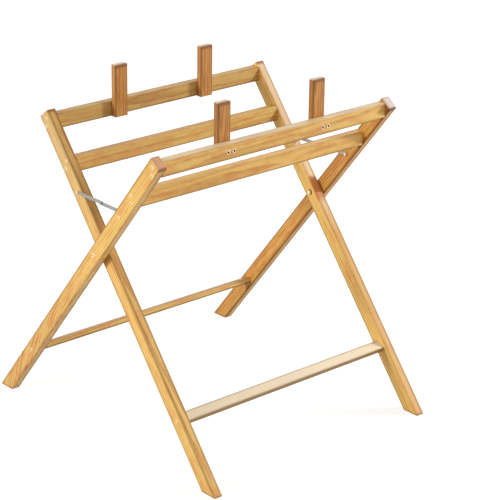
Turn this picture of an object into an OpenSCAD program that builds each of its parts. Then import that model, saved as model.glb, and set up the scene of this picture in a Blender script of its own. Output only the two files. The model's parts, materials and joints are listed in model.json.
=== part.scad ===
// Folding X-frame stand that carries a baby bath at waist height.
// Two wooden frames cross at a pivot bolt on each side. The outer frame leans forward: it
// holds the front rails and reaches the floor at the rear. The inner frame fits between the
// outer legs and is the same frame turned round: rear rails above, front feet below.
// A jointed pair of steel links on each side goes straight to stop the frames opening.
// Modelled open on the floor: +X right, +Y rear, +Z up, origin at the middle of the floor.

/* [Whole stand] */
// Width over the outer legs
stand_w = 880; // [760:5:1000]
// Height of the pivot bolts above the floor
pivot_h = 570; // [520:5:640]
// Lean of each leg from upright when open, in degrees
lean = 38.7; // [36:0.1:41]

/* [Legs] */
// Leg length above the pivot, along the leg
leg_above = 436; // [420:1:460]
// Leg width, seen from the side
leg_w = 45; // [38:1:50]
// Leg thickness, across the stand
leg_t = 28; // [24:1:34]
// Gap between an outer leg and the inner leg beside it
pivot_gap = 5; // [4.5:0.5:8]
// Radius on the long edges of the boards
edge_r = 3; // [1:0.5:4]
// Radius on the corners of the leg tops and post tops
end_r = 5; // [2:0.5:7]

/* [Rails] */
// Rail height
rail_h = 45; // [38:1:50]
// Rail thickness, front to rear
rail_t = 28; // [24:1:32]
// Middle of a top rail below the leg's top end, along the leg
top_rail_down = 28; // [26:1:34]
// Middle of a top rail outward of the leg's middle line
top_rail_out = 1; // [-3:0.5:3]
// Middle of a lower rail below the leg's top end, along the leg
low_rail_down = 165; // [150:1:180]
// Middle of a lower rail outward of the leg's middle line
low_rail_out = 0; // [-3:0.5:3]

/* [Stretchers] */
// Stretcher width
stretcher_w = 34; // [28:1:40]
// Stretcher thickness
stretcher_t = 18; // [15:1:22]
// Middle of a stretcher below the pivot, along the leg
stretcher_down = 512; // [470:1:560]
// Slope of a stretcher's wide face towards its feet, in degrees
stretcher_tilt = 20; // [0:1:35]

/* [Posts] */
// Post width
post_w = 45; // [38:1:52]
// Post thickness
post_t = 20; // [16:1:24]
// Height of a post above its rail's top face
post_rise = 111; // [90:1:130]
// Distance between the middles of the two front posts
post_pitch = 350; // [300:1:420]
// Middle of the left rear post from the middle of the stand
rear_post_left_at = 167; // [150:1:180]
// Middle of the right rear post from the middle of the stand
rear_post_right_at = 153; // [140:1:180]

/* [Spreader links] */
// Link bolt above the pivot, along the leg
link_up = 187.3; // [175:0.1:200]
// Link width
link_w = 10; // [9:0.5:13]
// Link thickness
link_t = 2; // [1.5:0.25:2]
// Bolt of each link, diameter
link_bolt_d = 6; // [5:0.5:7]
// Rivet at the knee, diameter
rivet_d = 4; // [3:0.5:5]
// Rivet head, diameter
rivet_head_d = 8; // [7:0.5:9]
// Rivet head, height
rivet_head_h = 1.5; // [1:0.25:2]

/* [Pivots] */
// Pivot bolt diameter
pivot_d = 8; // [6:0.5:9]
// Washers beside the wood at the pivot, diameter
pivot_washer_d = 16; // [15.5:0.5:22]

/* [Screws] */
// Wood screw diameter
screw_d = 6; // [5:0.5:7]
// Wood screw head, diameter
screw_head_d = 13; // [11:0.5:15]
// Head of a post's wood screw, diameter
post_head_d = 14.5; // [12:0.5:16]
// Wood screw head, height above the wood
screw_head_h = 1.6; // [1:0.1:2.4]
// Distance between the two screws at a rail's end
rail_screw_pitch = 23; // [20:0.5:25]
// Top rail's end screws outward of the rail's middle
top_screw_out = 4; // [0:0.5:5]
// Top rail's end screws below the rail's middle
top_screw_down = 3; // [0:0.5:4]
// Distance between the two screws of a post
post_screw_pitch = 22; // [18:0.5:26]
// Length of a wood screw in a rail's or stretcher's end grain
end_grain_bite = 42; // [30:1:60]
// Length of a wood screw in a post
post_bite = 14; // [8:1:15]

/* [Hidden] */

$fn = 48;
WOOD = "#dba85c";
POST_WOOD = "#c98a45";
STEEL = "#b9bcc0";
fit_gap = 0.05;          // radial clearance round bolts, screws and rivets
rivet_gap = 0.4;         // space left between the two halves of a knee rivet
hole_over = 1;           // how far a cutting tool runs past the face that it cuts
blind_over = 3;          // how far a blind hole runs past its screw's tip
washer_t = 1.6;
socket_share = 0.42;     // hexagon socket, across its corners, of the head's diameter
socket_floor_share = 0.25; // metal left under the socket, of the head's height
head_top_share = 0.84;   // top of a screw or bolt head, of the head's diameter
bolt_head_share = 1.75;  // bolt head diameter, of the bolt's diameter
bolt_head_h_share = 0.5; // bolt head height, of the bolt's diameter
nut_share = 1.85;        // nut across its corners, of the bolt's diameter
nut_h_share = 0.75;      // nut height, of the bolt's diameter
nut_washer_share = 2.2;  // washer under a link's nut, of the bolt's diameter
bolt_tip = 1;            // how far a bolt stands out of its nut

// Faces across the stand, as distances from its middle
outer_out = stand_w / 2;
outer_in = outer_out - leg_t;
inner_out = outer_in - pivot_gap;
inner_in = inner_out - leg_t;

// Points in a side view of the outer frame, as [y, z]: s up the leg from the pivot,
// and out square to the leg, towards the outside of the stand above the pivot.
function on_leg(s, out = 0) = [
    -s * sin(lean) - out * cos(lean),
    pivot_h + s * cos(lean) - out * sin(lean)
];

leg_below = pivot_h / cos(lean) + leg_w;
pivot_at = on_leg(0);
link_at = on_leg(link_up);
top_rail_at = on_leg(leg_above - top_rail_down, top_rail_out);
low_rail_at = on_leg(leg_above - low_rail_down, low_rail_out);
stretcher_at = on_leg(-stretcher_down);
top_screws_at = [for (k = [-1, 1])
    top_rail_at + [-top_screw_out, -top_screw_down + k * rail_screw_pitch / 2]];
low_screws_at = [for (k = [-1, 1]) low_rail_at + [0, k * rail_screw_pitch / 2]];
leg_screws_at = concat(top_screws_at, low_screws_at);
post_back = top_rail_at[0] + rail_t / 2;
post_foot = top_rail_at[1] - rail_h / 2;
post_l = rail_h + post_rise;
front_posts_at = [-post_pitch / 2, post_pitch / 2];
rear_posts_at = [-rear_post_left_at, rear_post_right_at];
link_reach = -link_at[0];

// ---- Placing ----

// Builds the right side's piece, or its mirror image on the left.
module on_side(side) {
    if (side == "left") mirror([1, 0, 0]) children();
    else children();
}

module both_sides() {
    on_side("left") children();
    on_side("right") children();
}

// Turns a piece of the outer frame into the same piece of the inner frame.
module turned() {
    mirror([0, 1, 0]) children();
}

// Lays a piece that is built upwards across the stand, pointing out to the right.
module across(x, at) {
    translate([x, at[0], at[1]]) rotate([0, 90, 0]) children();
}

// ---- Shapes ----

module round_rect(w, h, r) {
    square([w - 2 * r, h], center = true);
    square([w, h - 2 * r], center = true);
    for (x = [-1, 1], y = [-1, 1])
        translate([x * (w / 2 - r), y * (h / 2 - r)]) circle(r);
}

// Board standing on z = 0, w along Y and t along X. Its top corners are rounded in the wide
// faces, and its top edges are eased as its long edges are.
module standing_board(w, t, l) {
    intersection() {
        linear_extrude(l) round_rect(t, w, edge_r);
        translate([-t / 2, 0, 0]) rotate([90, 0, 90]) linear_extrude(t)
            board_side(w, l, end_r);
        translate([0, w / 2, 0]) rotate([90, 0, 0]) linear_extrude(w)
            board_side(t, l, edge_r);
    }
}

module board_side(w, l, r) {
    translate([-w / 2, 0]) square([w, l - r]);
    translate([-w / 2 + r, 0]) square([w - 2 * r, l]);
    for (k = [-1, 1]) translate([k * (w / 2 - r), l - r]) circle(r);
}

// Board across the whole stand, between faces at -x and x.
module cross_board(x, at, h, t, tilt = 0) {
    across(-x, at) rotate([0, 0, tilt]) linear_extrude(2 * x) round_rect(h, t, edge_r);
}

module bore(d, from, to) {
    translate([0, 0, from]) cylinder(d = d + 2 * fit_gap, h = to - from);
}

module ring(d, bolt_d, t) {
    difference() {
        cylinder(d = d, h = t);
        bore(bolt_d, -hole_over, t + hole_over);
    }
}

module nut(bolt_d) {
    h = bolt_d * nut_h_share;
    difference() {
        cylinder(d = bolt_d * nut_share, h = h, $fn = 6);
        bore(bolt_d, -hole_over, h + hole_over);
    }
}

// Head with a hexagon socket on z = 0, and a plain shank below it.
module socket_screw(head_d, head_h, d, l) {
    difference() {
        union() {
            cylinder(d1 = head_d, d2 = head_d * head_top_share, h = head_h);
            translate([0, 0, -l]) cylinder(d = d, h = l + head_h / 2);
        }
        translate([0, 0, head_h * socket_floor_share])
            cylinder(d = head_d * socket_share, h = head_h, $fn = 6);
    }
}

module wood_screw(l, head_d = screw_head_d) {
    socket_screw(head_d, screw_head_h, screw_d, l);
}

module bolt(d, l) {
    socket_screw(d * bolt_head_share, d * bolt_head_h_share, d, l);
}

// ---- Wooden pieces of the outer frame, and with turned() of the inner frame ----

// Leg with its inner face at x, cut level at the floor.
module leg(x) {
    color(WOOD) difference() {
        translate([x + leg_t / 2, 0, pivot_h]) rotate([lean, 0, 0]) translate([0, 0, -leg_below])
            standing_board(leg_w, leg_t, leg_below + leg_above);
        translate([x - hole_over, 0, -2 * leg_w])
            cube([leg_t + 2 * hole_over, leg_below, 2 * leg_w]);
        across(x, pivot_at) bore(pivot_d, -hole_over, leg_t + hole_over);
        across(x, link_at) bore(link_bolt_d, -hole_over, leg_t + hole_over);
        across(x, stretcher_at) bore(screw_d, -hole_over, leg_t + hole_over);
        for (at = leg_screws_at)
            across(x, at) bore(screw_d, -hole_over, leg_t + hole_over);
    }
}

module rail(x, at, end_screws_at) {
    color(WOOD) difference() {
        cross_board(x, at, rail_h, rail_t);
        both_sides() for (s = end_screws_at)
            across(x, s) bore(screw_d, -end_grain_bite - blind_over, hole_over);
        children();
    }
}

module top_rail(x, posts_at) {
    rail(x, top_rail_at, top_screws_at)
        both_posts(posts_at) at_post_screws() bore(screw_d, -rail_t - hole_over, hole_over);
}

module lower_rail(x) {
    rail(x, low_rail_at, low_screws_at);
}

module stretcher(x) {
    color(WOOD) difference() {
        cross_board(x, stretcher_at, stretcher_t, stretcher_w, -stretcher_tilt);
        both_sides() across(x, stretcher_at)
            bore(screw_d, -end_grain_bite - blind_over, hole_over);
    }
}

module both_posts(posts_at) {
    for (x = posts_at) translate([x, 0, 0]) children();
}

// A post's two screw places on its rail's outer face, pointing out of the wood.
module at_post_screws() {
    for (k = [-1, 1])
        translate([k * post_screw_pitch / 2, post_back - rail_t, top_rail_at[1]])
            rotate([90, 0, 0]) children();
}

module post(x) {
    translate([x, 0, 0]) color(POST_WOOD) difference() {
        translate([0, post_back + post_t / 2, post_foot]) rotate([0, 0, 90])
            standing_board(post_w, post_t, post_l);
        at_post_screws() bore(screw_d, -rail_t - post_bite - blind_over, hole_over);
    }
}

// ---- Screws ----

// The screws at the ends of one frame's rails, through the legs that have their inner face at x.
module rail_screws(x) {
    color(STEEL) both_sides() for (at = leg_screws_at)
        across(x + leg_t, at) wood_screw(leg_t + end_grain_bite);
}

module stretcher_screws(x) {
    color(STEEL) both_sides() across(x + leg_t, stretcher_at)
        wood_screw(leg_t + end_grain_bite);
}

module post_screws(posts_at) {
    color(STEEL) both_posts(posts_at) at_post_screws()
        wood_screw(rail_t + post_bite, post_head_d);
}

// ---- Pivots ----

// Head on the outer leg's outer face, nut on the inner leg's inner face.
module pivot_bolt(side) {
    grip = outer_out - inner_in + washer_t + pivot_d * nut_h_share + bolt_tip;
    color(STEEL) on_side(side) across(outer_out, pivot_at) bolt(pivot_d, grip);
}

module pivot_spacer(side) {
    color(STEEL) on_side(side) across(inner_out, pivot_at)
        ring(pivot_washer_d, pivot_d, pivot_gap);
}

module pivot_nut_washers() {
    color(STEEL) both_sides() across(inner_in - washer_t, pivot_at)
        ring(pivot_washer_d, pivot_d, washer_t);
}

module pivot_nut(side) {
    color(STEEL) on_side(side)
        across(inner_in - washer_t - pivot_d * nut_h_share, pivot_at) nut(pivot_d);
}

// ---- Spreader links ----

// Flat link from its bolt to the knee over the pivot, with its lower face at x.
module link(side, x) {
    color(STEEL) on_side(side) translate([x, 0, link_at[1]]) rotate([90, 0, 90])
        difference() {
            linear_extrude(link_t) link_outline();
            translate([-link_reach, 0, 0]) bore(link_bolt_d, -hole_over, link_t + hole_over);
            bore(rivet_d, -hole_over, link_t + hole_over);
        }
}

module link_outline() {
    translate([-link_reach, -link_w / 2]) square([link_reach, link_w]);
    for (y = [-link_reach, 0]) translate([y, 0]) circle(d = link_w);
}

// Half of a knee rivet, with its head on the link's face at x. turn is 1 where the head
// points out to the side, and -1 where it points to the middle.
module knee_rivet(side, x, turn) {
    tail = link_t + (pivot_gap - 2 * link_t - rivet_gap) / 2;
    color(STEEL) on_side(side) translate([x, 0, link_at[1]]) rotate([0, turn * 90, 0]) {
        cylinder(d = rivet_head_d, h = rivet_head_h);
        translate([0, 0, -tail]) cylinder(d = rivet_d, h = tail);
    }
}

// Outer leg: head on its outer face, nut on the link at its inner face.
module outer_link_bolt(side) {
    color(STEEL) on_side(side) across(outer_out, link_at)
        bolt(link_bolt_d, leg_t + link_t + link_bolt_d * nut_h_share + bolt_tip);
}

module outer_link_nuts() {
    color(STEEL) both_sides()
        across(outer_in - link_t - link_bolt_d * nut_h_share, link_at) nut(link_bolt_d);
}

// Inner leg: head on the link at its outer face, washer and nut on its inner face.
module inner_link_bolt(side) {
    grip = link_t + leg_t + washer_t + link_bolt_d * nut_h_share + bolt_tip;
    color(STEEL) on_side(side) across(inner_out + link_t, link_at) bolt(link_bolt_d, grip);
}

module inner_link_nut_washers() {
    color(STEEL) both_sides() across(inner_in - washer_t, link_at)
        ring(link_bolt_d * nut_washer_share, link_bolt_d, washer_t);
}

module inner_link_nuts() {
    color(STEEL) both_sides()
        across(inner_in - washer_t - link_bolt_d * nut_h_share, link_at) nut(link_bolt_d);
}

// ---- The stand ----

on_side("left") leg(outer_in);  // outer_leg_left
on_side("right") leg(outer_in);  // outer_leg_right
top_rail(outer_in, front_posts_at);  // front_top_rail
lower_rail(outer_in);  // front_lower_rail
stretcher(outer_in);  // rear_stretcher
post(front_posts_at[0]);  // front_post_left
post(front_posts_at[1]);  // front_post_right

turned() on_side("left") leg(inner_in);  // inner_leg_left
turned() on_side("right") leg(inner_in);  // inner_leg_right
turned() top_rail(inner_in, rear_posts_at);  // rear_top_rail
turned() lower_rail(inner_in);  // rear_lower_rail
turned() stretcher(inner_in);  // front_stretcher
turned() post(rear_posts_at[0]);  // rear_post_left
turned() post(rear_posts_at[1]);  // rear_post_right

pivot_bolt("left");  // pivot_bolt_left
pivot_bolt("right");  // pivot_bolt_right
pivot_spacer("left");  // pivot_spacer_left
pivot_spacer("right");  // pivot_spacer_right
pivot_nut("left");  // pivot_nut_left
pivot_nut("right");  // pivot_nut_right
pivot_nut_washers();

link("left", outer_in - link_t);  // outer_link_left
link("right", outer_in - link_t);  // outer_link_right
turned() link("left", inner_out);  // inner_link_left
turned() link("right", inner_out);  // inner_link_right
knee_rivet("left", outer_in, 1);  // outer_link_rivet_left
knee_rivet("right", outer_in, 1);  // outer_link_rivet_right
knee_rivet("left", inner_out, -1);  // inner_link_rivet_left
knee_rivet("right", inner_out, -1);  // inner_link_rivet_right
outer_link_bolt("left");  // outer_link_bolt_left
outer_link_bolt("right");  // outer_link_bolt_right
turned() inner_link_bolt("left");  // inner_link_bolt_left
turned() inner_link_bolt("right");  // inner_link_bolt_right
outer_link_nuts();
turned() inner_link_nuts();
turned() inner_link_nut_washers();

rail_screws(outer_in);  // front_rail_screws
turned() rail_screws(inner_in);  // rear_rail_screws
post_screws(front_posts_at);  // front_post_screws
turned() post_screws(rear_posts_at);  // rear_post_screws
turned() stretcher_screws(inner_in);  // front_stretcher_screws
stretcher_screws(outer_in);  // rear_stretcher_screws
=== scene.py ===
import json
import math
import bpy
import bmesh
from mathutils import Matrix, Vector


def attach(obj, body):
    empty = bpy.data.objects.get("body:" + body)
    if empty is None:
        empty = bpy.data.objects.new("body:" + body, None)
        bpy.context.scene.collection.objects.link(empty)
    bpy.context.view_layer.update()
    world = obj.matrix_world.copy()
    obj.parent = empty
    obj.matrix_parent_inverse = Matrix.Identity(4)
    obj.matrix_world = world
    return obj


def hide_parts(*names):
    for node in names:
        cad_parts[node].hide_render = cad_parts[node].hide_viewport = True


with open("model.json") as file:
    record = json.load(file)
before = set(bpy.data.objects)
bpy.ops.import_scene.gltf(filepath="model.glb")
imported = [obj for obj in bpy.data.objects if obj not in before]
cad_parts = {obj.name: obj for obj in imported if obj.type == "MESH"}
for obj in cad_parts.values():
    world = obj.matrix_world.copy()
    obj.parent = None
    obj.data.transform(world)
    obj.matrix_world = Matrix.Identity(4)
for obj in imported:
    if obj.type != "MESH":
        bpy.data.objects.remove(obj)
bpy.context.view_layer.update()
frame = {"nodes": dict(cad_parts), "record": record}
nodes = frame["nodes"]
bodyOf = {node: body for body, members in frame["record"]["behaviour"]["bodies"].items()
          for node in members}
print("stand loaded,", len(nodes), "nodes")

# lengths that the pieces share, in metres, as the part's source has them
stand = {
    "pivotHeight": 0.570,
    "lean": math.radians(38.7),
    "legAbove": 0.436,        # leg above the pivot, along the leg
    "legWide": 0.045,
    "legThick": 0.028,
    "outerFace": 0.440,       # outer leg's outer face, from the middle
    "pivotGap": 0.005,
    "railHeight": 0.045,
    "railThick": 0.028,
    "topRailDown": 0.028,     # middles of the cross boards, down the leg from its top
    "topRailOut": 0.001,
    "lowRailDown": 0.165,
    "stretcherDown": 0.512,   # the stretcher's middle, down the leg from the pivot
    "stretcherTilt": math.radians(20),
    "stretcherHalf": (0.009, 0.017),  # half its thickness and its width
    "postWide": 0.045,
    "postThick": 0.020,
    "postRise": 0.111,        # post above its rail
    "frontPosts": (-0.175, 0.175),
    "rearPosts": (-0.167, 0.153),
}
outerIn = stand["outerFace"] - stand["legThick"]
innerOut = outerIn - stand["pivotGap"]
innerIn = innerOut - stand["legThick"]


def onLeg(up, out=0):
    # height and depth of a point on the outer frame, up the leg from the pivot
    sine, cosine = math.sin(stand["lean"]), math.cos(stand["lean"])
    return (-up * sine - out * cosine, stand["pivotHeight"] + up * cosine - out * sine)


# the camera stands where the photograph was taken from
view = {
    "place": (-3.374, -3.9554, 2.532),
    "azimuth": 0.714429,
    "pitch": -0.359020,
    "roll": 0.010526,
    "lens": 137.2,
    "sensor": 36,
    "shift": (0.0408, -0.0671),
    "farthest": 200,
}
bpy.ops.object.camera_add(location=view["place"])
camera = bpy.context.object
camera.name = "photoCamera"
camera.rotation_euler = (Matrix.Rotation(-view["azimuth"], 3, "Z")
                         @ Matrix.Rotation(math.pi / 2 + view["pitch"], 3, "X")
                         @ Matrix.Rotation(view["roll"], 3, "Z")).to_euler()
camera.data.sensor_width = view["sensor"]
camera.data.lens = view["lens"]
camera.data.shift_x, camera.data.shift_y = view["shift"]
camera.data.clip_end = view["farthest"]
bpy.context.scene.camera = camera
bpy.context.scene.view_settings.view_transform = "Standard"
print("camera placed")


# shader maths
class Wire:
    # an output socket that can be added, multiplied and so on
    def __init__(self, tree, socket=None):
        self.tree, self.socket = tree, socket

    def node(self, kind, settings, values, out=0):
        made = self.tree.nodes.new("ShaderNode" + kind)
        for name, value in settings.items():
            if name == "stops":
                while len(made.color_ramp.elements) < len(value):
                    made.color_ramp.elements.new(0.5)
                for element, (place, colour) in zip(made.color_ramp.elements, value):
                    element.position, element.color = place, colour
            else:
                setattr(made, name, value)
        for name, value in values.items():
            if isinstance(value, Wire):
                self.tree.links.new(value.socket, made.inputs[name])
            else:
                made.inputs[name].default_value = value
        return Wire(self.tree, made.outputs[out])

    def sums(self, operation, first, second=0.0, clamp=False):
        return self.node("Math", {"operation": operation, "use_clamp": clamp},
                         {0: first, 1: second})

    def __add__(self, other):
        return self.sums("ADD", self, other)

    def __sub__(self, other):
        return self.sums("SUBTRACT", self, other)

    def __rsub__(self, other):
        return self.sums("SUBTRACT", other, self)

    def __mul__(self, other):
        return self.sums("MULTIPLY", self, other)

    def __truediv__(self, other):
        return self.sums("DIVIDE", self, other)

    def __pow__(self, other):
        return self.sums("POWER", self, other)

    __radd__ = __add__
    __rmul__ = __mul__

    def __abs__(self):
        return self.sums("ABSOLUTE", self)

    def larger(self, other):
        return self.sums("MAXIMUM", self, other)

    def part(self):
        return self.sums("FRACT", self)

    def parts(self):
        # x, y and z of a place
        first = self.node("SeparateXYZ", {}, {0: self})
        return [Wire(self.tree, first.socket.node.outputs[axis]) for axis in range(3)]

    def held(self):
        # kept from 0 to 1
        return self.sums("ADD", self, 0.0, clamp=True)

    def ramp(self, begin, end):
        # from 0 at begin to 1 at end, and level on either side
        return ((self - begin) / (end - begin)).held()

    def noise(self, stretch, seed, detail=2.0, roughness=0.5):
        # stretch is about how many features it has in a metre along each axis
        scaled = self.node("VectorMath", {"operation": "MULTIPLY"}, {0: self, 1: stretch})
        return self.node("TexNoise", {"noise_dimensions": "4D"},
                         {"Vector": scaled, "W": seed, "Scale": 1.0, "Detail": detail,
                          "Roughness": roughness})

    def colour(self, first, second):
        # from the first colour to the second as self goes from 0 to 1
        return self.node("Mix", {"data_type": "RGBA"}, {0: self, 6: first, 7: second}, out=2)

    def shaded(self, amount):
        # a colour times a grey amount
        return self.node("VectorMath", {"operation": "SCALE"}, {0: self, 3: amount})

    def bump(self, distance):
        return self.node("Bump", {}, {"Height": self, "Distance": distance, "Strength": 1.0})


def ink(code):
    # a colour as written in a paint program, made linear
    parts = [int(code[i:i + 2], 16) / 255 for i in (0, 2, 4)]
    return tuple(c / 12.92 if c <= 0.04045 else ((c + 0.055) / 1.055) ** 2.4
                 for c in parts) + (1,)


def finishOf(name):
    # a material with its shader, and the object's own coordinates
    material = bpy.data.materials.new(name)
    material.use_nodes = True
    tree = material.node_tree
    shader = next(n for n in tree.nodes if n.type == "BSDF_PRINCIPLED")
    return material, shader, Wire(tree).node("TexCoord", {}, {}, "Object")


def feed(shader, wire, socket):
    wire.tree.links.new(wire.socket, shader.inputs[socket])


# wood
wood = {
    "early": ink("f6ca70"),     # wide pale part of a growth ring
    "late": ink("b66c22"),      # its narrow dark part
    "peach": ink("f2aa5e"),     # warm streaks along a board
    "olive": ink("cf9f45"),     # duller patches
    "heartwoodAndShade": ink("96531c"),     # darker brown tint: painted shade on faces in shadow, and a darker lower tone on one leg
    "paintedShadow": ink("c26a18"),    # a red-brown painted shadow, cast by a crossing leg
    "paintedHighlight": ink("fbeacb"),       # pale cream: painted highlight where light catches a face
    "grey": ink("b9a47c"),      # a greyer, duller tint
    "umber": ink("755c34"),     # rounded edges, worn and darkened with painted shade, and painted shade on a downward face
    "endGrain": ink("e6ac8c"),
    "rim": ink("96531c"),       # a leg's front face just under its top
    "ringWidth": 0.0056,
    "ringUneven": 1.6,          # in rings
    "bandRings": 3.1,           # rings from one dark band to the next
    "bandUneven": 2.4,
    "sway": 0.016,              # how far the rings wander along a board
    "ringDepth": 0.72,          # how much of its colour each pattern brings
    "ringLeast": 0.1,           # rings show this much, and more in a band or cloud
    "ringInBand": 0.8,
    "ringInCloud": 0.8,
    "streakDepth": 0.7,
    "patchDepth": 0.4,
    "poreDepth": 0.35,
    "fibreDepth": 0.26,
    "edgeDepth": 0.85,
    "rimDepth": 0.8,
    "cutDepth": 0.85,
    "streak": (0.47, 4),        # what the noise leaves out, and how strongly the rest shows
    "streakCloud": (0.5, 11),
    "streakBand": (0.5, 0.3),
    "pore": (0.66, 9),
    "patch": (0.5, 0.75),       # where in the noise a patch begins, and where it is full
    "speck": (0.45, 0.95),
    "edge": (0.007, 0.007),     # how far in an edge is darkened by wear and painted shade, across thickness and width
    "clean": 0.8,               # how much less edge wear and painted shade the edges at the front and left take
    "cleanReach": 0.002,
    "topWearAndShade": 0.3,             # edge wear and painted shade at the top, on the two sides of the thickness
    "rimReach": (0.013, 0.007),  # down from the top, and in from the front face
    "rimFade": 0.005,
    "cutReach": 0.0032,         # end grain shows from here to the top
    "cutFade": 0.0022,
    "soleReach": 0.0014,        # and up to here from the floor
    "soleFade": 0.001,
    "footShade": 0.006,         # how far up from the floor a foot takes painted contact shadow
    "roughness": 0.36,
    "fibreRough": 0.22,
    "wornRough": 0.4,
    "coat": 0.2,
    "coatRough": 0.2,
    "gloss": 0.3,
    "bump": 0.00022,
    "fibreBump": 0.7,           # shares of the bump
    "ringBump": 0.3,
}
amberWood = dict(wood, early=ink("f0b95c"), late=ink("a85a18"), peach=ink("e2953e"),
                 olive=ink("c98f3c"), umber=ink("6a3f18"), ringDepth=0.85)
postWood = dict(wood, early=ink("d6974a"), late=ink("9c5a20"), peach=ink("c98240"),
                olive=ink("b47c34"), endGrain=ink("fbeede"), ringDepth=0.75)

# what varies over a board: stretch across, across and along, seed, detail and roughness
patterns = {
    "sway": ((5, 5, 1.5), 0, 1.0, 0.5),
    "swing": ((5, 5, 1.8), 7.3, 1.0, 0.5),
    "uneven": ((30, 30, 3), 2.1, 2.0, 0.5),
    "fibre": ((900, 900, 14), 4.4, 3.0, 0.6),
    "dash": ((1500, 1500, 60), 5.9, 1.0, 0.5),
    "streak": ((85, 85, 2.4), 1.2, 3.0, 0.6),
    "patch": ((30, 30, 5), 3.7, 2.0, 0.5),
    "cloud": ((80, 80, 20), 6.6, 3.0, 0.6),
    "speck": ((1400, 1400, 1400), 8.1, 2.0, 0.5),
}
# how dark a growth ring is, from its pale start to its dark end
ringStops = [(0.0, 0.1), (0.40, 0.12), (0.84, 1), (0.94, 0.8), (1.0, 0.1)]


def marked(wire, marks):
    # a noise with its middle left out, and the rest made stronger
    middle, strength = marks
    return (wire - middle) * strength


def paintBoard(node, look, board):
    # solid wood, its rings round a pith line beside the board
    material, shader, place = finishOf(node + "_wood")
    pith, half, figure = board["pith"], board["half"], board.get("figure", 1)
    own = place.node("Mapping", {"vector_type": "TEXTURE"},
                     {"Vector": place, "Location": board["centre"], "Rotation": board["turn"]})
    x, y, z = own.parts()

    def pattern(name):
        stretch, shift, detail, roughness = patterns[name]
        return own.noise(stretch, board["seed"] + shift, detail, roughness)

    # distance from the pith
    across = x - pith[0] + (pattern("sway") - 0.5) * look["sway"] + z * pith[2]
    down = y - pith[1] + (pattern("swing") - 0.5) * look["sway"] + z * pith[3]
    if "bend" in board:
        # the grain runs out to one side below a place along the board
        bend = board["bend"]
        below = (bend["from"] - z).larger(0)
        down = down + below * below * bend["amount"]
        figure = below.ramp(0, bend["fade"]) * (1 - bend["figure"]) + bend["figure"]
    away = (across * across + down * down) ** 0.5

    # growth rings, streaks, patches and pores
    uneven, fibre, cloud = pattern("uneven"), pattern("fibre"), pattern("cloud")
    ringWidth = board.get("ringWidth", look["ringWidth"])
    ring = (away / ringWidth + uneven * look["ringUneven"]).part()
    late = ring.node("ValToRGB", {"stops": [(at, (grey,) * 3 + (1,)) for at, grey in ringStops]},
                     {0: ring})
    band = (away / (ringWidth * look["bandRings"]) + uneven * look["bandUneven"]).part()
    band = abs(band * 2 - 1)
    warm = (marked(pattern("streak"), look["streak"]) + marked(cloud, look["streakCloud"])
            + marked(band, look["streakBand"]) + board.get("warmth", 0)).held()
    base = (warm * look["streakDepth"]).colour(look["early"], look["peach"])
    patch = pattern("patch").ramp(*look["patch"])
    base = (patch * look["patchDepth"]).colour(base, look["olive"])
    grain = look["ringLeast"] + look["ringInBand"] * band + look["ringInCloud"] * cloud
    base = (late * look["ringDepth"] * figure * grain).held().colour(base, look["late"])
    pores = marked(pattern("dash"), look["pore"]).held() * look["poreDepth"]
    base = pores.colour(base, look["late"])

    # tints towards one face of the board, over a part of its length
    for side in board.get("sides", ()):
        axis = side["axis"]
        depth = ((x, y)[axis] * side["way"]).ramp(half[axis] - side["reach"], half[axis])
        for limit in ("rise", "fall"):
            if limit in side:
                depth = depth * z.ramp(*side[limit])
        base = (depth * side["amount"]).colour(base, look[side["tint"]])

    # worn edges, with painted shade darkening silhouette edges and undersides
    edge = board.get("edge", look["edge"])
    nearX, nearY = (abs(wire).ramp(width - reach, width)
                    for wire, width, reach in zip((x, y), half, edge))
    corner = x.ramp(0, -look["cleanReach"]) * y.ramp(0, -look["cleanReach"])
    wornAndShaded = nearX * nearY * (1 - corner * board.get("clean", look["clean"]))
    if "top" in board:
        # the top, with its end grain and the rim under it
        top, up = board["top"], place.parts()[2]
        nearTop = z.ramp(top - edge[1], top)
        wornAndShaded = wornAndShaded.larger(nearTop * nearY.larger(nearX * look["topWearAndShade"]))
        rimDown, rimIn = look["rimReach"]
        rim = (z.ramp(top - rimDown, top - rimDown + look["rimFade"])
               * (y * -1).ramp(half[1] - rimIn, half[1]))
        cut = z.ramp(top - look["cutReach"], top - look["cutReach"] + look["cutFade"])
        # the sole of a foot: painted contact shadow up from the floor, and end grain under it
        wornAndShaded = wornAndShaded.larger(up.ramp(look["footShade"], 0))
        cut = (cut + up.ramp(look["soleReach"], look["soleReach"] - look["soleFade"])).held()
        wornAndShaded = wornAndShaded * (1 - cut * board.get("cleanTop", 0))
        endTone = pattern("speck").ramp(*look["speck"]).colour(look["endGrain"], look["late"])
        base = (cut * look["cutDepth"]).colour(base, endTone)
        base = (rim * look["rimDepth"]).colour(base, look["rim"])
    base = (wornAndShaded * look["edgeDepth"]).colour(base, look["umber"])

    shade = (fibre * look["fibreDepth"] + 1 - look["fibreDepth"] / 2) * board.get("tone", 1)
    feed(shader, base.shaded(shade), "Base Color")
    feed(shader, (fibre * look["fibreRough"] + wornAndShaded * look["wornRough"]
                  + look["roughness"]).held(), "Roughness")
    feed(shader, (fibre * look["fibreBump"] + late * look["ringBump"]).bump(look["bump"]),
         "Normal")
    feed(shader, ((1 - wornAndShaded) * look["coat"]).held(), "Coat Weight")
    shader.inputs["Coat Roughness"].default_value = look["coatRough"]
    shader.inputs["Specular IOR Level"].default_value = look["gloss"]
    nodes[node].data.materials.clear()
    nodes[node].data.materials.append(material)


def tinted(tint, axis, way, reach, amount, **limits):
    # a tint towards the face that lies the given way along an axis of the board
    return dict(tint=tint, axis=axis, way=way, reach=reach, amount=amount, **limits)


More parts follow.
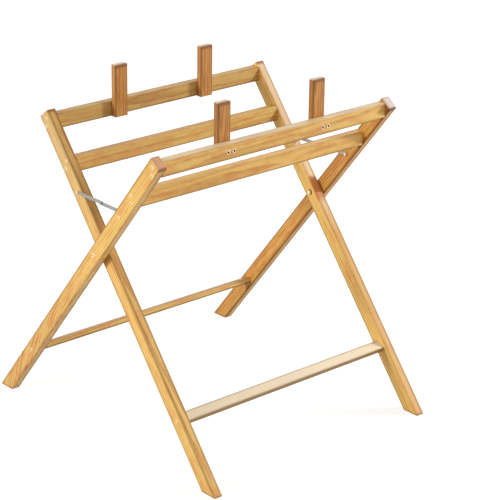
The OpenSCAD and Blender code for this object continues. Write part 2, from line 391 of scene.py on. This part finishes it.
legLean = stand["lean"]
legTop = stand["legAbove"]
legHalf = (stand["legThick"] / 2, stand["legWide"] / 2)
railHalf = (stand["railHeight"] / 2, stand["railThick"] / 2)
postHalf = (stand["postWide"] / 2, stand["postThick"] / 2)
outerLegX, innerLegX = outerIn + stand["legThick"] / 2, innerIn + stand["legThick"] / 2
topRail = onLeg(legTop - stand["topRailDown"], stand["topRailOut"])
lowRail = onLeg(legTop - stand["lowRailDown"])
footRail = onLeg(-stand["stretcherDown"])
acrossTurn = (0, math.pi / 2, 0)
postTop = topRail[1] + stand["railHeight"] / 2 + stand["postRise"]
postY = topRail[0] + stand["railThick"] / 2 + stand["postThick"] / 2

# each board's pith: how far off in thickness and width, and its slant each way
legs = {
    "outer_leg_left": dict(
        x=-outerLegX, lean=legLean, pith=(0.012, 0.085, 0.012, 0.020), seed=1.0,
        ringWidth=0.0075, bend={"from": -0.04, "amount": 0.34, "fade": 0.2, "figure": 0.6},
        sides=[tinted("heartwoodAndShade", 0, -1, 0.004, 0.14, rise=(0.05, -0.25))]),
    "outer_leg_right": dict(
        x=outerLegX, lean=legLean, pith=(-0.060, 0.070, -0.010, 0.012), seed=2.0, clean=0,
        # the near-white end grain of this leg is a painted highlight
        look=dict(amberWood, endGrain=ink("feeeea"), rim=ink("40281a")),
        # its inner face darkens above the pivot: painted shade near the rails
        sides=[tinted("heartwoodAndShade", 0, -1, 0.004, 0.2, rise=(-0.05, 0.1))]),
    "inner_leg_left": dict(
        x=-innerLegX, lean=-legLean, pith=(0.020, -0.080, 0.008, -0.016), seed=3.0,
        ringWidth=0.0085, figure=0.8, clean=0.3,
        # painted shade on the upper front face
        sides=[tinted("heartwoodAndShade", 1, -1, 0.005, 0.38, rise=(-0.45, 0.15)),
               tinted("grey", 0, -1, 0.004, 0.4, rise=(0.0, 0.3))]),
    "inner_leg_right": dict(
        x=innerLegX, lean=-legLean, pith=(-0.030, 0.080, 0.012, 0.010), seed=4.0,
        # a raised tone: painted light that lifts a cast shadow off this leg
        tone=1.18, warmth=-0.6, ringWidth=0.0095, figure=0.6,
        # painted shade on the front face, against the raised tone
        sides=[tinted("heartwoodAndShade", 1, -1, 0.002, 0.48),
               # painted highlight on the upper front face
               tinted("paintedHighlight", 1, -1, 0.002, 0.4, rise=(-0.15, 0.0)),
               # painted shadow of the outer leg, just above the pivot
               tinted("paintedShadow", 1, -1, 0.008, 0.8, rise=(-0.046, -0.026), fall=(0.046, 0.03))]),
}
for node, board in legs.items():
    board.update(centre=(board["x"], 0, stand["pivotHeight"]), turn=(board["lean"], 0, 0),
                 half=legHalf, top=legTop, edge=(0.010, 0.0075))
    paintBoard(node, board.get("look", wood), board)
rails = {
    "front_top_rail": dict(at=topRail, side=1, pith=(0.010, 0.034, 0.014, 0.006), seed=5.0,
                           # painted sheen on the top face
                           tone=0.95, figure=0.6, sides=[tinted("paintedHighlight", 0, -1, 0.003, 0.5)]),
    "front_lower_rail": dict(at=lowRail, side=1, pith=(0.004, 0.030, 0.020, -0.008), seed=6.0,
                             tone=0.945, warmth=-0.1, figure=0.55),
    # the rear rails' lower tones are painted shade
    "rear_top_rail": dict(at=topRail, side=-1, pith=(-0.012, 0.036, 0.010, 0.010), seed=7.0,
                          tone=0.69, figure=0.7),
    "rear_lower_rail": dict(at=lowRail, side=-1, pith=(0.014, 0.032, -0.016, 0.006), seed=8.0,
                            tone=0.87, warmth=-0.2, figure=0.6),
}
for node, board in rails.items():
    board.update(centre=(0, board["side"] * board["at"][0], board["at"][1]), turn=acrossTurn,
                 half=railHalf)
    paintBoard(node, wood, board)
stretchers = {
    "rear_stretcher": dict(side=1, pith=(0.026, 0.010, 0.012, 0.01), seed=9.0, tone=0.91,
                           # painted shade along the faces above and below its front face
                           sides=[tinted("heartwoodAndShade", 0, -1, 0.003, 0.65),
                                  tinted("heartwoodAndShade", 0, 1, 0.005, 0.6)]),
    "front_stretcher": dict(side=-1, pith=(0.030, -0.006, 0.01, 0.012), seed=10.0, tone=0.96,
                            # painted shade on the front face, which looks down
                            sides=[tinted("umber", 1, -1, 0.005, 0.68),
                                   # painted sheen on the top face
                                   tinted("paintedHighlight", 0, -1, 0.004, 0.9)]),
}
for node, board in stretchers.items():
    side = board["side"]
    turn = (Matrix.Rotation(math.pi / 2, 3, "Y")
            @ Matrix.Rotation(-side * stand["stretcherTilt"], 3, "Z")).to_euler()
    board.update(centre=(0, side * footRail[0], footRail[1]), turn=turn,
                 half=stand["stretcherHalf"], figure=0.7)
    paintBoard(node, wood, board)
posts = {
    # painted shadow on the front posts' left faces
    "front_post_left": dict(x=stand["frontPosts"][0], side=1, seed=11.0,
                            sides=[tinted("heartwoodAndShade", 0, -1, 0.003, 0.55)]),
    "front_post_right": dict(x=stand["frontPosts"][1], side=1, seed=12.0,
                             sides=[tinted("heartwoodAndShade", 0, -1, 0.003, 0.4)]),
    "rear_post_left": dict(x=stand["rearPosts"][0], side=-1, seed=13.0),
    "rear_post_right": dict(x=stand["rearPosts"][1], side=-1, seed=14.0),
}
for node, board in posts.items():
    board.update(centre=(board["x"], board["side"] * postY, 0), turn=(0, 0, 0), half=postHalf,
                 pith=(0.006, 0.040, 0.02, 0.03), top=postTop, clean=0, cleanTop=0.7, tone=0.95)
    paintBoard(node, postWood, board)
print("boards painted")


# steel: bare and brushed along the links, plated on the fasteners
steel = {
    "bright": ink("a3a29a"),
    "dull": ink("7d7b74"),
    "brush": (2400, 60, 2400),  # stretch of the brush marks along each axis
    "plating": (1200, 1200, 1200),
    "cloud": (90, 90, 90),
    "cloudMarks": (0.3, 1.6),   # what the noise leaves out, and how strongly the rest shows
    "dullDepth": 0.6,
    "brushDepth": 0.2,
    "roughness": 0.26,
    "brushRough": 0.16,
    "dullRough": 0.05,
    "bump": 0.00002,
}


def steelFinish(name, seed, look):
    material, shader, place = finishOf(name)
    brush = place.noise(look["brush"], seed, detail=3.0, roughness=0.6)
    dull = marked(place.noise(look["cloud"], seed + 3), look["cloudMarks"]).held()
    base = (dull * look["dullDepth"]).colour(look["bright"], look["dull"])
    feed(shader, base.shaded(brush * look["brushDepth"] + 1 - look["brushDepth"] / 2),
         "Base Color")
    feed(shader, brush * look["brushRough"] + dull * look["dullRough"] + look["roughness"],
         "Roughness")
    feed(shader, brush.bump(look["bump"]), "Normal")
    shader.inputs["Metallic"].default_value = 1
    return material


def plated(name, seed, bright, dull, roughness=0.3):
    return steelFinish(name, seed, dict(steel, bright=ink(bright), dull=ink(dull),
                                        brush=steel["plating"], roughness=roughness))


brushedSteel = steelFinish("brushed_link_steel", 22.0, steel)
screwSteel = plated("screw_plating", 21.0, "ecd6a6", "c2a268")
boltSteel = plated("bolt_plating", 27.0, "f8e8c4", "dcc290")
# a pinkish plating: painted reflection of the wood round the post screws
postScrewSteel = plated("post_screw_plating", 28.0, "dcbca6", "a88a78")
nutSteel = plated("nut_plating", 25.0, "e6d6a4", "b8a066", roughness=0.36)
washerSteel = plated("washer_plating", 29.0, "6a5a30", "4a3d1e", roughness=0.5)
rivetSteel = plated("rivet_steel", 23.0, "6f6f74", "4f4f55", roughness=0.26)
# socket finishes are painted shade in the recesses: mild on leg screws and bolts, deep on post
# screws
mildSocketShade = plated("socket_mild_painted_shade", 24.0, "c4a468", "94743c", roughness=0.5)
deepSocketShade = plated("socket_deep_painted_shade", 26.0, "3a2614", "20140a", roughness=0.7)

# what the fasteners have in common
fastener = {
    "headTop": 0.84,          # these are shares of a head's, shank's or bolt's own size
    "headEase": 0.16,
    "threadRoot": 0.82,
    "tip": 0.7,
    "boltHead": 1.75,
    "boltRise": 0.5,
    "nutAcross": 1.85,
    "nutRise": 0.75,
    "nutChamfer": 0.09,
    "nutWasher": 2.2,
    "socketFloor": 0.25,
    "boltSocket": 0.21,
    "boltRidges": 8,
    "pastNut": 0.001,         # metres of bolt past its nut
    "holeGap": 0.00005,       # metres round a shank in its hole
    "ringEase": 0.0003,       # metres taken off an edge
    "nutEase": 0.0002,
}
smoothBelow = math.radians(32)  # faces that meet at less look rounded


# tools for making pieces
def start(name, add, **settings):
    bpy.ops.object.select_all(action="DESELECT")
    add(**settings)
    piece = bpy.context.object
    piece.name = piece.data.name = name
    bpy.ops.object.transform_apply(location=True, rotation=True, scale=True)
    return piece


def pick(piece, kind, test):
    # goes into edit mode with the faces or edges selected that pass the test
    bpy.ops.object.select_all(action="DESELECT")
    piece.select_set(True)
    bpy.context.view_layer.objects.active = piece
    bpy.ops.object.mode_set(mode="EDIT")
    bpy.ops.mesh.select_mode(type="FACE" if kind == "faces" else "EDGE")
    bpy.ops.mesh.select_all(action="DESELECT")
    mesh = bmesh.from_edit_mesh(piece.data)
    for part in getattr(mesh, kind):
        if test(part):
            part.select_set(True)
    bmesh.update_edit_mesh(piece.data)


def leave():
    bpy.ops.object.mode_set(mode="OBJECT")


def modified(piece, kind, **settings):
    bpy.context.view_layer.objects.active = piece
    change = piece.modifiers.new(kind.lower(), kind)
    for name, value in settings.items():
        setattr(change, name, value)
    bpy.ops.object.modifier_apply(modifier=change.name)


def cutWith(piece, tool):
    modified(piece, "BOOLEAN", operation="DIFFERENCE", object=tool, solver="EXACT")
    bpy.data.objects.remove(tool)


def eased(piece, width, segments=2, angle=35):
    modified(piece, "BEVEL", width=width, segments=segments, limit_method="ANGLE",
             angle_limit=math.radians(angle), harden_normals=False)
    bpy.ops.object.select_all(action="DESELECT")
    piece.select_set(True)
    bpy.context.view_layer.objects.active = piece
    bpy.ops.object.shade_smooth_by_angle(angle=smoothBelow)


def pull(distance):
    bpy.ops.mesh.extrude_region_move(TRANSFORM_OT_translate={"value": (0, 0, distance)})


def grow(factor):
    bpy.ops.transform.resize(value=(factor, factor, 1))


def facing(direction, height=None):
    # a test for faces that look one way along Z, at a height if one is given
    def passes(face):
        return face.normal.z * direction > 0.9 and (
            height is None or abs(face.calc_center_median().z - height) < 1e-5)
    return passes


def headedScrew(name, sizes, length, finish, inside):
    # tapered head on z = 0 with a hexagon socket, and a ridged shank below it
    head, rise, thread = sizes["head"], sizes["rise"], sizes["thread"]
    socket, socketFloor = head * sizes["socket"], rise * fastener["socketFloor"]
    piece = start(name, bpy.ops.mesh.primitive_cylinder_add, vertices=48, radius=head / 2,
                  depth=rise, location=(0, 0, rise / 2))
    pick(piece, "faces", facing(1))
    grow(fastener["headTop"])
    leave()
    pick(piece, "faces", facing(-1))
    bpy.ops.mesh.inset(thickness=(head - sizes["shank"]) / 2)
    pull(-(length - 2 * sizes["ridges"] * thread))
    for ridge in range(sizes["ridges"]):
        grow(fastener["threadRoot"])
        pull(-thread)
        grow(1 / fastener["threadRoot"])
        pull(-thread)
    grow(fastener["tip"])
    leave()
    cutWith(piece, start("socketTool", bpy.ops.mesh.primitive_cylinder_add, vertices=6,
                         radius=socket, depth=rise, location=(0, 0, socketFloor + rise / 2)))
    eased(piece, rise * fastener["headEase"])
    piece.data.materials.append(finish)
    # the socket's faces take the second, darker finish: painted shade in the recess
    piece.data.materials.append(inside)
    for face in piece.data.polygons:
        # the socket's own faces, by their place
        middle = face.center
        fromAxis = math.hypot(middle.x, middle.y)
        if socketFloor * 0.8 < middle.z < rise * 0.97 and fromAxis < socket * 1.02:
            face.material_index = 1
    return piece


def boltOf(name, width, length, thread):
    sizes = {"head": width * fastener["boltHead"], "rise": width * fastener["boltRise"],
             "shank": width, "thread": thread, "ridges": fastener["boltRidges"],
             "socket": fastener["boltSocket"]}
    return headedScrew(name, sizes, length, boltSteel, mildSocketShade)


def bored(piece, width, depth, vertices=48, **place):
    cutWith(piece, start("boreTool", bpy.ops.mesh.primitive_cylinder_add, vertices=vertices,
                         radius=width / 2 + fastener["holeGap"], depth=depth, **place))


def ring(name, outside, inside, height):
    # a washer or spacer on z = 0
    piece = start(name, bpy.ops.mesh.primitive_cylinder_add, vertices=48,
                  radius=outside / 2, depth=height, location=(0, 0, height / 2))
    bored(piece, inside, height * 3)
    eased(piece, fastener["ringEase"])
    piece.data.materials.append(washerSteel)
    return piece


def hexNut(name, bolt):
    # a hexagon nut on z = 0, its corners turned down on both faces
    across, height = bolt * fastener["nutAcross"], bolt * fastener["nutRise"]
    piece = start(name, bpy.ops.mesh.primitive_cylinder_add, vertices=6, radius=across / 2,
                  depth=height, location=(0, 0, height / 2))
    turned = start("chamferTool", bpy.ops.mesh.primitive_cylinder_add, vertices=48,
                   radius=across / 2 * 1.02, depth=height, location=(0, 0, height / 2))
    pick(turned, "edges", lambda edge: abs(edge.verts[0].co.z - edge.verts[1].co.z) < 1e-6)
    bpy.ops.mesh.bevel(offset=across * fastener["nutChamfer"], offset_type="WIDTH", segments=1)
    leave()
    modified(piece, "BOOLEAN", operation="INTERSECT", object=turned, solver="EXACT")
    bpy.data.objects.remove(turned)
    bored(piece, bolt, height * 3)
    eased(piece, fastener["nutEase"], angle=20)
    piece.data.materials.append(nutSteel)
    return piece


def outward(x, y, z, side, spin=0.0):
    # places a piece made on z = 0 so that it points out to the side, -1 for the left
    return (Matrix.Translation((side * x, y, z)) @ Matrix.Rotation(side * math.pi / 2, 4, "Y")
            @ Matrix.Rotation(spin, 4, "Z"))


def fitted(node, source, places):
    # copies the source to each place, as one piece that stands for the node
    copies = []
    for place in places:
        copy = source.copy()
        copy.data = source.data.copy()
        copy.data.transform(place)
        bpy.context.collection.objects.link(copy)
        copies.append(copy)
    bpy.ops.object.select_all(action="DESELECT")
    for copy in copies:
        copy.select_set(True)
    bpy.context.view_layer.objects.active = copies[0]
    if len(copies) > 1:
        bpy.ops.object.join()
    piece = bpy.context.object
    piece.name = piece.data.name = node + "_made"
    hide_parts(node)
    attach(piece, bodyOf[node])


# wood screws
railScrew = {
    "head": 0.013,
    "rise": 0.0016,
    "shank": 0.006,
    "thread": 0.0011,
    "ridges": 14,
    "socket": 0.21,           # share of the head
    "bite": 0.042,            # how deep it goes into the far piece
    "pitch": 0.023,           # between the two of a rail's end
    "topShift": (-0.004, -0.003),  # off the middle of the top rail's end
    "spin": 0.37,             # turns of the sockets, in radians
    "stretcherSpin": 0.6,
}
postScrew = dict(railScrew, head=0.0145, ridges=6, socket=0.25, bite=0.014, pitch=0.022,
                 spin=(0.5, 9))
railScrewMade = headedScrew("railScrew", railScrew, stand["legThick"] + railScrew["bite"],
                            screwSteel, mildSocketShade)
postScrewMade = headedScrew("postScrew", postScrew, stand["railThick"] + postScrew["bite"],
                            postScrewSteel, deepSocketShade)
# two screws above each other in each end of a rail
shiftY, shiftZ = railScrew["topShift"]
rows = [(topRail[0] + shiftY, topRail[1] + shiftZ), lowRail]
spots = [(y, z + k * railScrew["pitch"] / 2) for y, z in rows for k in (-1, 1)]
for node, face, turn in (("front_rail_screws", stand["outerFace"], 1),
                         ("rear_rail_screws", innerOut, -1)):
    fitted(node, railScrewMade,
           [outward(face, turn * y, z, side, railScrew["spin"] * (n + 2 * side))
            for side in (-1, 1) for n, (y, z) in enumerate(spots)])
for node, face, turn in (("rear_stretcher_screws", stand["outerFace"], 1),
                         ("front_stretcher_screws", innerOut, -1)):
    fitted(node, railScrewMade,
           [outward(face, turn * footRail[0], footRail[1], side,
                    railScrew["stretcherSpin"] * turn) for side in (-1, 1)])
railFace = topRail[0] - stand["railThick"] / 2
perScrew, perPlace = postScrew["spin"]
for node, turn, places in (("front_post_screws", 1, stand["frontPosts"]),
                           ("rear_post_screws", -1, stand["rearPosts"])):
    fitted(node, postScrewMade,
           [Matrix.Translation((x + k * postScrew["pitch"] / 2, turn * railFace, topRail[1]))
            @ Matrix.Rotation(turn * math.pi / 2, 4, "X")
            @ Matrix.Rotation(perScrew * k + x * perPlace, 4, "Z")
            for x in places for k in (-1, 1)])
print("wood screws fitted")

# pivots
pivot = {
    "bolt": 0.008,
    "washer": 0.016,
    "washerThick": 0.0016,
    "thread": 0.0007,
    "spin": 0.3,
    "nutSpin": 0.25,
}
nutRise = pivot["bolt"] * fastener["nutRise"]
pivotGrip = stand["outerFace"] - innerIn + pivot["washerThick"] + nutRise + fastener["pastNut"]
pivotBolt = boltOf("pivotBolt", pivot["bolt"], pivotGrip, pivot["thread"])
pivotSpacer = ring("pivotSpacer", pivot["washer"], pivot["bolt"], stand["pivotGap"])
pivotWasher = ring("pivotWasher", pivot["washer"], pivot["bolt"], pivot["washerThick"])
pivotNut = hexNut("pivotNut", pivot["bolt"])
washerFace = innerIn - pivot["washerThick"]
middle = stand["pivotHeight"]
for end, side in (("left", -1), ("right", 1)):
    fitted("pivot_bolt_" + end, pivotBolt,
           [outward(stand["outerFace"], 0, middle, side, pivot["spin"])])
    fitted("pivot_spacer_" + end, pivotSpacer, [outward(innerOut, 0, middle, side)])
    fitted("pivot_nut_" + end, pivotNut,
           [outward(washerFace - nutRise, 0, middle, side, pivot["nutSpin"])])
fitted("pivot_nut_washers", pivotWasher,
       [outward(washerFace, 0, middle, side) for side in (-1, 1)])
print("pivots fitted")

# spreader links
link = {
    "up": 0.1873,             # link bolt above the pivot, along the leg
    "wide": 0.010,
    "thick": 0.002,
    "bolt": 0.006,
    "thread": 0.0006,
    "rivet": 0.004,
    "rivetHead": 0.008,
    "rivetRise": 0.0015,
    "rivetGap": 0.0004,       # between the two halves of a rivet
    "ease": 0.00035,
    "rivetEase": 0.00015,
    "spin": (0.1, 0.4),       # of the outer and inner bolts
    "nutSpin": (0.2, 0.5),
}
linkAt = onLeg(link["up"])
reach = -linkAt[0]


def flatLink(name):
    # a flat bar on x = 0 to its thickness, from its bolt hole to the knee at y = 0
    piece = start(name, bpy.ops.mesh.primitive_cube_add, size=1,
                  location=(link["thick"] / 2, -reach / 2, 0),
                  scale=(link["thick"], reach + link["wide"], link["wide"]))
    pick(piece, "edges", lambda edge: abs(edge.verts[0].co.x - edge.verts[1].co.x) > 1e-4)
    bpy.ops.mesh.bevel(offset=link["wide"] * 0.4995, segments=12)
    leave()
    for y, bore in ((-reach, link["bolt"]), (0, link["rivet"])):
        bored(piece, bore, link["thick"] * 10, vertices=32, location=(0, y, 0),
              rotation=(0, math.pi / 2, 0))
    eased(piece, link["ease"])
    piece.data.materials.append(brushedSteel)
    return piece


def kneeRivet(name):
    # domed head on z = 0 and half of the shank below it
    tail = link["thick"] + (stand["pivotGap"] - 2 * link["thick"] - link["rivetGap"]) / 2
    piece = start(name, bpy.ops.mesh.primitive_cylinder_add, vertices=40,
                  radius=link["rivetHead"] / 2, depth=link["rivetRise"],
                  location=(0, 0, link["rivetRise"] / 2))
    pick(piece, "edges", lambda edge: min(v.co.z for v in edge.verts) > link["rivetRise"] * 0.9)
    bpy.ops.mesh.bevel(offset=link["rivetRise"] * 0.9, segments=5)
    leave()
    pick(piece, "faces", facing(-1, 0))
    bpy.ops.mesh.inset(thickness=(link["rivetHead"] - link["rivet"]) / 2)
    pull(-tail)
    leave()
    eased(piece, link["rivetEase"], segments=1, angle=50)
    piece.data.materials.append(rivetSteel)
    return piece


linkBar = flatLink("linkBar")
rivet = kneeRivet("rivet")
nutRise = link["bolt"] * fastener["nutRise"]
outerGrip = stand["legThick"] + link["thick"] + nutRise + fastener["pastNut"]
outerLinkBolt = boltOf("outerLinkBolt", link["bolt"], outerGrip, link["thread"])
innerLinkBolt = boltOf("innerLinkBolt", link["bolt"], outerGrip + pivot["washerThick"],
                       link["thread"])
linkNut = hexNut("linkNut", link["bolt"])
linkWasher = ring("linkWasher", link["bolt"] * fastener["nutWasher"], link["bolt"],
                  pivot["washerThick"])
high = linkAt[1]
for end, side in (("left", -1), ("right", 1)):
    # the bar is symmetric through its thickness, so a half turn makes the inner link
    barX = outerIn - link["thick"] if side > 0 else -outerIn
    fitted("outer_link_" + end, linkBar, [Matrix.Translation((barX, 0, high))])
    barX = innerOut + link["thick"] if side > 0 else -innerOut
    fitted("inner_link_" + end, linkBar,
           [Matrix.Translation((barX, 0, high)) @ Matrix.Rotation(math.pi, 4, "Z")])
    fitted("outer_link_rivet_" + end, rivet, [outward(outerIn, 0, high, side)])
    fitted("inner_link_rivet_" + end, rivet,
           [Matrix.Translation((side * innerOut, 0, high))
            @ Matrix.Rotation(-side * math.pi / 2, 4, "Y")])
    fitted("outer_link_bolt_" + end, outerLinkBolt,
           [outward(stand["outerFace"], linkAt[0], high, side, link["spin"][0])])
    fitted("inner_link_bolt_" + end, innerLinkBolt,
           [outward(innerOut + link["thick"], -linkAt[0], high, side, link["spin"][1])])
outerSpin, innerSpin = link["nutSpin"]
for node, piece, x, y, spin in (
        ("outer_link_nuts", linkNut, outerIn - link["thick"] - nutRise, linkAt[0], outerSpin),
        ("inner_link_nuts", linkNut, washerFace - nutRise, -linkAt[0], innerSpin),
        ("inner_link_nut_washers", linkWasher, washerFace, -linkAt[0], 0)):
    fitted(node, piece, [outward(x, y, high, side, spin) for side in (-1, 1)])
for source in (railScrewMade, postScrewMade, pivotBolt, pivotSpacer, pivotWasher, pivotNut,
               linkBar, rivet, outerLinkBolt, innerLinkBolt, linkNut, linkWasher):
    bpy.data.objects.remove(source)
print("links fitted")

# floor and light
studio = {
    "floorSize": 60,
    "floor": ink("aaa8a4"),
    "floorRough": 0.9,
    "floorGloss": 0.1,
    "floorGlow": (0.74, 0.86),  # near and far, seen by the camera alone: open floor is white
    "glowReach": (1.2, 4.5),
    "skyLevel": 0.385,
    "sky": (1.0, 0.985, 0.96, 1),
    "aim": (0, 0, 0.5),         # where the lamps point
}
lamps = {
    "key": dict(place=(-6.0, 1.4, 2.6), size=1.4, level=0.62),
    "fill": dict(place=(-1.0, -4.8, 1.1), size=3.0, level=0.12),
    "side": dict(place=(5.0, -2.7, 2.1), size=1.0, level=0.72),
    "sheen": dict(place=(2.4, 1.0, 3.3), size=2.4, level=0.18),
}
black, white = (0, 0, 0, 1), (1, 1, 1, 1)


def seenIn(tree):
    # 1 where the camera sees the surface, itself or in a glossy or clear piece
    seen, glossy, clear = (Wire(tree).node("LightPath", {}, {}, "Is " + kind + " Ray")
                           for kind in ("Camera", "Glossy", "Transmission"))
    return seen.larger(glossy).larger(clear)


bpy.ops.object.select_all(action="DESELECT")
bpy.ops.mesh.primitive_plane_add(size=studio["floorSize"])
floor = bpy.context.object
floor.name = "floor"
material, shader, place = finishOf("pale_floor")
shader.inputs["Base Color"].default_value = studio["floor"]
shader.inputs["Roughness"].default_value = studio["floorRough"]
shader.inputs["Specular IOR Level"].default_value = studio["floorGloss"]
shader.inputs["Emission Strength"].default_value = 1
spread = place.node("VectorMath", {"operation": "LENGTH"}, {0: place}, out=1)
nearGlow, farGlow = studio["floorGlow"]
glow = spread.ramp(*studio["glowReach"]) * (farGlow - nearGlow) + nearGlow
feed(shader, (seenIn(place.tree) * glow).colour(black, white), "Emission Color")
floor.data.materials.append(material)

world = bpy.data.worlds.new("studio")
bpy.context.scene.world = world
world.use_nodes = True
backdrop = world.node_tree.nodes["Background"]
seen = seenIn(world.node_tree)
feed(backdrop, seen.colour(studio["sky"], white), "Color")
feed(backdrop, seen * (1 - studio["skyLevel"]) + studio["skyLevel"], "Strength")

aim = Vector(studio["aim"])
for name, chosen in lamps.items():
    spot = Vector(chosen["place"])
    bpy.ops.object.light_add(type="AREA", location=spot)
    lamp = bpy.context.object
    lamp.name = name + "Light"
    lamp.data.size = chosen["size"]
    lamp.data.energy = chosen["level"] * math.pi ** 2 * (spot - aim).length_squared
    lamp.rotation_euler = (aim - spot).to_track_quat("-Z", "Y").to_euler()
print("studio lit")
